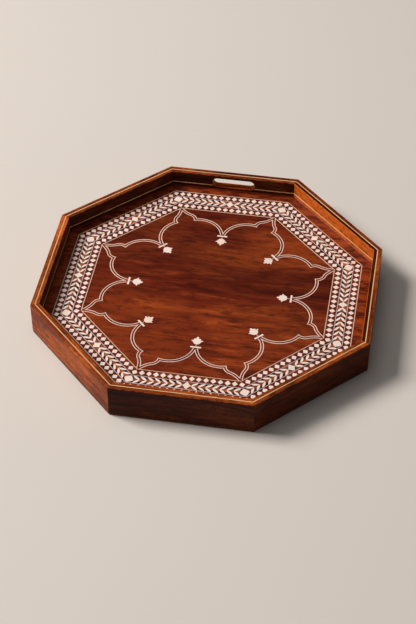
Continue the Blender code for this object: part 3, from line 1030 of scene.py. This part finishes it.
def arc(centre, radius, first, last, steps):
    """Points centre + radius * (cos a, sin a), for a from the first to the last angle."""
    angle = np.radians(np.linspace(first, last, steps + 1))
    return np.asarray(centre) + radius * np.stack([np.cos(angle), np.sin(angle)], -1)


def scallop_paths():
    """Middles of the two curves in the right half of a scalloped line, and the cusp between them.

    The first is an arc that leaves the middle of the side. The second is a smaller arc from the
    first's end, then the quadratic curve from there to the border's corner. Both run on past the
    cusp along their own circles, so that a mitre can cut them.
    """
    centre, radius, first, last = BIG_LOBE
    cusp = arc(centre, radius, last, last, 1)[0]
    big = arc(centre, radius, first, last - 9.0, 44)
    small_radius, small_first, small_last = SMALL_LOBE
    start = math.radians(small_first)
    small_centre = cusp - small_radius * np.array([math.cos(start), math.sin(start)])
    small = arc(small_centre, small_radius, small_first + 24.0, small_last, 18)
    t = np.linspace(0.0, 1.0, 15)[1:, None]
    end = np.array([TAN, 1.0])
    tip = (1 - t) ** 2 * small[-1] + 2 * t * (1 - t) * np.array(TIP_PULL) + t ** 2 * end
    onward = tip[-1] + (tip[-1] - tip[-2]) * 0.6
    lead = big[0] - (big[1] - big[0]) * 3.0
    return (np.concatenate([[lead], big]) * BAND_IN,
            np.concatenate([small, tip, [onward]]) * BAND_IN, cusp * BAND_IN)


def cusp_normal():
    """Direction square to the mitre at the cusp: the mean of the two arcs' own directions."""
    big, small = math.radians(BIG_LOBE[3]), math.radians(SMALL_LOBE[1])
    mean = np.array([math.sin(big) + math.sin(small), -math.cos(big) - math.cos(small)])
    return mean / np.linalg.norm(mean)


def ribbon(path, low, high):
    """Outline between two distances to the left of a path: each corner moves along the mean of
    its two edges' normals, by the distance over the cosine between them."""
    step = np.diff(path, axis=0)
    step = step / np.linalg.norm(step, axis=1, keepdims=True)
    normal = np.stack([-step[:, 1], step[:, 0]], -1)
    before = np.concatenate([normal[:1], normal])
    after = np.concatenate([normal, normal[-1:]])
    middle = before + after
    middle = middle / np.linalg.norm(middle, axis=1, keepdims=True)
    reach = 1.0 / (middle * after).sum(1, keepdims=True)
    return np.concatenate([path + middle * reach * low, (path + middle * reach * high)[::-1]])


def half_line(low, high, bar_gap, band_gap, end_gap):
    """Half of a side's line, in two pieces mitred at the cusp: kept right of the middle, short of
    the next side, outside the bar and inside the border."""
    first, second, cusp = scallop_paths()
    normal = cusp_normal()
    pieces = [trimmed(ribbon(first, low, high), normal, normal @ cusp),
              trimmed(ribbon(second, low, high), -normal, -normal @ cusp)]
    pieces[0] = trimmed(pieces[0], (-1.0, 0.0), 0.0)
    pieces[0] = trimmed(pieces[0], (0.0, -1.0), -(BAR_OUT + bar_gap))
    pieces[1] = trimmed(pieces[1], (COS, -SIN), -end_gap)
    pieces[1] = trimmed(pieces[1], (0.0, 1.0), BAND_IN - band_gap)
    return pieces


def build_scallops():
    """Two bone lines with dark wood between and beside them, flush in their bed."""
    size, tray = sizes(), colours()
    bone = bone_finish("bone_scallop", shaded(tray.bone, 0.94, 0.84, 0.80), 0.4)
    bed_wood = bed_finish("scallop_bed_wood")
    top = FLOOR_TOP + size.proud
    line = size.scallop_line
    strips = ((SCALLOP_HALF - line, SCALLOP_HALF), (-SCALLOP_HALF, line - SCALLOP_HALF))
    lines = [piece for low, high in strips
             for piece in half_line(low, high, 0.1 * MM, 0.15 * MM, 0.02 * MM)]
    beds = half_line(-SCALLOP_HALF - GAP, SCALLOP_HALF + GAP, 0.0, 0.0, 0.0)
    for index, side in enumerate(SIDES):
        filling = [plates((bed * hand)[None], BED, *FILLING)
                   for bed in beds for hand in (1.0, MIRROR)]
        new_piece("scallop_bed_" + side, joined(filling), bed_wood, index)
        pale = [plates((outline * hand)[None], BED, top, LINE_EASE, seed=index * 8 + k)
                for k, outline in enumerate(lines) for hand in (1.0, MIRROR)]
        new_piece("scallop_lines_" + side, joined(pale), bone, index,
                  ("scallop_" + side,))


# As shares of the border's inner distance: the bed's bar (half length, inner and outer edge), its
# diamond (tip, middle and neck end), and the half widths of its diamond and neck.
BAR_BED = (0.043, 0.676, 0.697)
DIAMOND_BED = (0.560, 0.610, 0.657)
BED_HALVES = (0.047, 0.003)


def ogee_bed():
    """The finial's bed, as it is cut in the floor panel: bar, neck and diamond, 0.3 mm larger all
    round. The diamond's edge follows 1 - t - bow * sin(3 pi t) between its side and its tip."""
    bar_half, bar_in, bar_out = np.array(BAR_BED) * BAND_IN
    tip_in, middle, tip_out = np.array(DIAMOND_BED) * BAND_IN
    half, neck = np.array(BED_HALVES) * BAND_IN
    t = np.linspace(0.0, 1.0, 10)
    share = 1.0 - t - 0.08 * np.sin(3 * math.pi * t)

    def edge(end_half, end):
        side = half + GAP
        return np.stack([end_half + (side - end_half) * share, middle + (end - middle) * t], -1)

    lower, upper = edge(neck + GAP, tip_out + GAP), edge(0.0, tip_in - 2 * GAP)
    right = np.concatenate([[(bar_half + GAP, bar_out + GAP), (bar_half + GAP, bar_in - GAP),
                             (neck + GAP, bar_in - GAP - 0.6 * MM)], lower[::-1], upper[1:]])
    return np.concatenate([right, right[:-1][::-1] * MIRROR])


# Right half of a finial's lotus: half widths, and shares of its height from its neck inwards.
LOTUS = ((0.7 * MM, 0.0), (3.4 * MM, 0.05), (5.5 * MM, 0.22), (6.7 * MM, 0.36), (9.0 * MM, 0.46),
         (8.4 * MM, 0.53), (5.5 * MM, 0.53), (5.1 * MM, 0.71), (4.0 * MM, 0.76), (2.3 * MM, 0.75),
         (1.6 * MM, 0.94))
LOTUS_NECK = 0.654        # its two ends and the bar's middle, as shares of the border's distance
LOTUS_TIP = 0.566
BAR_MIDDLE = 0.6865
BAR_THICK = 1.75 * MM     # half the bar's thickness at its ends
BAR_WAIST = 0.22          # how much thinner it is in the middle
NECK_HALF = 0.4 * MM
NECK_REACH = (1.2 * MM, 6.4 * MM)        # from the bar's middle inwards


def lotus_outline():
    """Bowl that opens from the neck to two side points, then shoulders and a tip that points to
    the tray's centre: corners mirrored about the middle, each rounded a little."""
    half, share = np.array(LOTUS).T
    out = (LOTUS_NECK + (LOTUS_TIP - LOTUS_NECK) * share) * BAND_IN
    right = np.stack([half, out], -1)
    tip = np.array([[0.0, LOTUS_TIP * BAND_IN]])
    outline = np.concatenate([right, tip, right[::-1] * MIRROR])
    return rounded(outline, np.full(len(outline), 0.25 * MM), 3)


def build_finials():
    """Bar, thin neck and lotus in bone, over a filling of the whole bed. The bar is thinner in
    the middle by the waist, 1 - 0.22 * cos(x * pi / 2) ** 2."""
    size, tray = sizes(), colours()
    bone = bone_finish("bone_finial", tuple(tray.bone), 0.4)
    bed_wood = bed_finish("finial_bed_wood")
    top = FLOOR_TOP + size.proud + HAIR
    foot = BED + GAP
    bar_middle = BAR_MIDDLE * BAND_IN
    bar = lozenge(BAR_HALF * 0.96, BAR_THICK, 5.0, 40)
    waist = 1.0 - BAR_WAIST * np.cos(np.clip(bar[:, 0] / BAR_HALF, -1, 1) * math.pi / 2) ** 2
    bar[:, 1] = bar_middle + bar[:, 1] * waist
    lotus = lotus_outline()
    near, far = bar_middle - np.array(NECK_REACH)
    neck = np.array([[-NECK_HALF, far], [NECK_HALF, far], [NECK_HALF, near], [-NECK_HALF, near]])
    for index, side in enumerate(SIDES):
        new_piece("finial_bed_" + side, plates(ogee_bed()[None], BED, *FILLING), bed_wood,
                  index)
        parts = [plates(outline[None], foot, top - drop, ease, seed=30 + 3 * index + k)
                 for k, (outline, drop, ease) in enumerate(((bar, 0.0, size.ease),
                                                            (lotus, 0.0, size.ease),
                                                            (neck, 0.04 * MM, 0.1 * MM)))]
        new_piece("finial_inlay_" + side, joined(parts), bone, index,
                  ("finial_" + side,))


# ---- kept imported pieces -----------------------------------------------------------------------
def refinish(node, material):
    """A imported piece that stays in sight, in another material."""
    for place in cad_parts[node].material_slots:
        place.material = material


def finish_floor():
    refinish("floor_panel", floor_finish())


def finish_blocks():
    """Raw pine, the grain of each block across its own corner."""
    tray = colours()
    dark = shaded(tray.pine_body, 0.62, 0.46, 0.34)
    light = shaded(tray.pine_body, 1.25, 1.25, 1.25)
    for index in range(len(SIDES)):
        name = "corner_block_" + str(index + 1)
        material = plain_wood_finish(name + "_pine", tuple(tray.pine_body), dark, light, 60.0,
                                     0.62, (index + 0.5) * TURN)
        refinish(name, material)


# ---- stage ------------------------------------------------------------------------------------
KEY_PLACE, KEY_WIDTH, KEY_TINT = (-4.9, 0.49, 4.76), 2.5, (1.0, 0.91, 0.83)
FILL_PLACE, FILL_WIDTH, FILL_TINT = (-0.4, 0.2, 2.7), 2.0, (1.0, 0.93, 0.86)
AIR_TINT = (1.0, 0.97, 0.94, 1.0)


def cove(reach=6.5, rise=2.4, count=96):
    """Round floor whose rim sweeps up: (radius, height) runs flat to the reach, then along a
    quarter circle, radius = reach + rise * sin a, height = rise * (1 - cos a)."""
    angle = np.linspace(0.0, math.pi / 2, 13)
    radius = np.concatenate([[0.5, 2.0], reach + rise * np.sin(angle)])
    height = np.concatenate([[0.0, 0.0], rise * (1.0 - np.cos(angle))])
    turn = np.arange(count) * 2 * math.pi / count
    grid = np.stack([radius[:, None] * np.cos(turn), radius[:, None] * np.sin(turn),
                     np.broadcast_to(height[:, None], (len(radius), count))], -1)
    quads, _, _ = tube_faces(len(radius), count)
    return grid.reshape(-1, 3), [quads[:, ::-1], np.arange(count)[None]]


def build_stage():
    """Wide pale floor, a large warm light on the left, a weak one overhead, and the camera."""
    stage = bpy.context.scene.tray_stage
    mesh = bare_mesh("studio_floor", *cove())
    mesh.shade_smooth()
    mesh.materials.append(studio_floor_finish())
    floor = placed("studio_floor", mesh)
    add_light("key_light", KEY_PLACE, KEY_WIDTH, stage.key, KEY_TINT)
    add_light("fill_light", FILL_PLACE, FILL_WIDTH, stage.fill, FILL_TINT)
    world = bpy.data.worlds.new("studio_air")
    world.use_nodes = True
    air = world.node_tree.nodes["Background"]
    air.inputs["Color"].default_value = AIR_TINT
    air.inputs["Strength"].default_value = stage.air
    bpy.context.scene.world = world
    bpy.context.scene.view_settings.view_transform = "Standard"
    add_camera(stage)


def add_light(name, place, width, power, tint):
    """A square light that faces the tray."""
    light = bpy.data.lights.new(name, "AREA")
    light.shape = "SQUARE"
    light.size = width
    light.energy = power
    light.color = tint
    lamp = placed(name, light)
    lamp.location = place
    lamp.rotation_mode = "QUATERNION"
    lamp.rotation_quaternion = Vector(place).to_track_quat("Z", "Y")


def add_camera(stage):
    """The camera stands back from its aim by the distance, at its azimuth and elevation."""
    data = bpy.data.cameras.new("camera")
    data.lens = stage.lens
    camera = placed("camera", data)
    flat = math.cos(stage.elevation)
    back = Vector((math.sin(stage.azimuth) * flat, -math.cos(stage.azimuth) * flat,
                   math.sin(stage.elevation)))
    camera.location = Vector(stage.aim) + back * stage.distance
    camera.rotation_mode = "QUATERNION"
    camera.rotation_quaternion = back.to_track_quat("Z", "Y")
    bpy.context.scene.camera = camera


# ---- operators and panel ----------------------------------------------------------------------
class TRAY_OT_stage(bpy.types.Operator):
    """Make the floor, the lights and the camera"""

    bl_idname = "tray.stage"
    bl_label = "Stage"

    def execute(self, context):
        build_stage()
        return {"FINISHED"}


class TRAY_OT_walls(bpy.types.Operator):
    """Make the eight boards, one of them with its hand slot"""

    bl_idname = "tray.walls"
    bl_label = "Boards"

    def execute(self, context):
        build_walls()
        return {"FINISHED"}


class TRAY_OT_stringing(bpy.types.Operator):
    """Make the stringing in the rim and in the inner faces"""

    bl_idname = "tray.stringing"
    bl_label = "Stringing"

    def execute(self, context):
        build_rim_lines()
        build_gold_lines()
        return {"FINISHED"}


class TRAY_OT_beads(bpy.types.Operator):
    """Make the bead at the foot of the walls"""

    bl_idname = "tray.beads"
    bl_label = "Foot bead"

    def execute(self, context):
        build_beads()
        return {"FINISHED"}


class TRAY_OT_base(bpy.types.Operator):
    """Make the base board"""

    bl_idname = "tray.base"
    bl_label = "Base board"

    def execute(self, context):
        build_base()
        return {"FINISHED"}


class TRAY_OT_floor(bpy.types.Operator):
    """Finish the floor panel in glossy figured wood"""

    bl_idname = "tray.floor"
    bl_label = "Floor panel"

    def execute(self, context):
        finish_floor()
        return {"FINISHED"}


class TRAY_OT_blocks(bpy.types.Operator):
    """Finish the corner blocks in raw pine"""

    bl_idname = "tray.blocks"
    bl_label = "Corner blocks"

    def execute(self, context):
        finish_blocks()
        return {"FINISHED"}


class TRAY_OT_border(bpy.types.Operator):
    """Make the banding of dots and chevrons round the floor"""

    bl_idname = "tray.border"
    bl_label = "Border"

    def execute(self, context):
        build_border()
        return {"FINISHED"}


class TRAY_OT_scallops(bpy.types.Operator):
    """Make the double scalloped lines"""

    bl_idname = "tray.scallops"
    bl_label = "Scalloped lines"

    def execute(self, context):
        build_scallops()
        return {"FINISHED"}


class TRAY_OT_finials(bpy.types.Operator):
    """Make the finials inside the scalloped lines"""

    bl_idname = "tray.finials"
    bl_label = "Finials"

    def execute(self, context):
        build_finials()
        return {"FINISHED"}


OPERATORS = (TRAY_OT_stage, TRAY_OT_walls, TRAY_OT_stringing, TRAY_OT_beads, TRAY_OT_base,
             TRAY_OT_floor, TRAY_OT_blocks, TRAY_OT_border, TRAY_OT_scallops, TRAY_OT_finials)


class TRAY_PT_pieces(bpy.types.Panel):
    """Every operator of the tray, in the order that main calls them"""

    bl_idname = "TRAY_PT_pieces"
    bl_label = "Inlaid tray"
    bl_space_type = "VIEW_3D"
    bl_region_type = "UI"
    bl_category = "Tray"

    def draw(self, context):
        for operator in OPERATORS:
            self.layout.operator(operator.bl_idname)
        for group in (context.scene.tray_sizes, context.scene.tray_colours,
                      context.scene.tray_stage):
            box = self.layout.box()
            for name in group.__annotations__:
                box.prop(group, name)


CLASSES = (TraySizes, TrayColours, TrayStage, *OPERATORS, TRAY_PT_pieces)


def register():
    for item in CLASSES:
        bpy.utils.register_class(item)
    bpy.types.Scene.tray_sizes = PointerProperty(type=TraySizes)
    bpy.types.Scene.tray_colours = PointerProperty(type=TrayColours)
    bpy.types.Scene.tray_stage = PointerProperty(type=TrayStage)


def unregister():
    del bpy.types.Scene.tray_stage
    del bpy.types.Scene.tray_colours
    del bpy.types.Scene.tray_sizes
    for item in reversed(CLASSES):
        bpy.utils.unregister_class(item)


def main():
    register()
    for operator in OPERATORS:
        group, name = operator.bl_idname.split(".")
        getattr(getattr(bpy.ops, group), name)()


if __name__ == "__main__":
    main()
